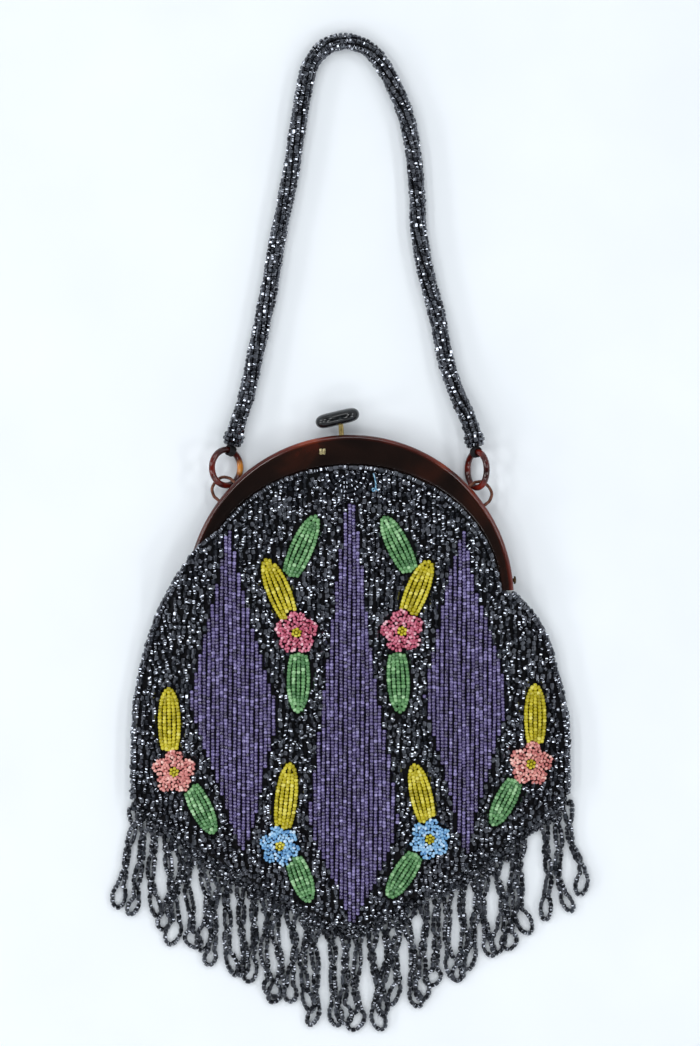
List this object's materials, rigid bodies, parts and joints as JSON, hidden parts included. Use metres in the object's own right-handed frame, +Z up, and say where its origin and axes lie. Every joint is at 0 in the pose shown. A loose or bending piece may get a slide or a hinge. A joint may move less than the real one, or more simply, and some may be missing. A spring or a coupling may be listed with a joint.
{
  "type": "beaded purse",
  "caption": "Beaded evening purse lying on its back: hinged crescent frame with a push clasp, hollow cloth pouch, looped bead fringe and a bead rope handle on rings.",
  "frame": {"origin": "on the floor under the centre of the frame's arc, on the outside of the back panel", "axes": "+X to the right as the front is seen, +Y from the hem towards the handle, +Z up, out of the front panel"},
  "size_m": [0.1959, 0.4173, 0.0153],
  "materials": {
    "beaded_cloth": "cotton cloth covered in glass seed beads, black and purple with flowers",
    "bead_strings": "strings of gunmetal hex-cut glass beads",
    "celluloid": "polished tortoiseshell celluloid, dark brown with red",
    "ring_celluloid": "polished translucent celluloid, red-brown with amber",
    "dark_knob": "worn polished near-black celluloid",
    "brass": "aged brass",
    "bronze_wire": "dark tarnished wire"
  },
  "bodies": {
    "purse": {"pouch_front": "beaded_cloth", "pouch_back": "beaded_cloth", "frame_front": "celluloid", "frame_back": "celluloid", "hinge_pin_left": "brass", "hinge_pin_right": "brass", "eye_left": "bronze_wire", "eye_right": "bronze_wire", "ring_left": "ring_celluloid", "ring_right": "ring_celluloid", "catch_rivet": "brass", "handle": "bead_strings", "fringe": "bead_strings"},
    "clasp_button": {"clasp_stem": "brass", "clasp_knob": "dark_knob"}
  },
  "joints": [
    {"name": "knob_push", "type": "slide", "parent": "purse", "child": "clasp_button", "axis": [0.0523, -0.9986, 0], "range_m": [0, 0.002], "stiffness_N_per_m": 300}
  ]
}
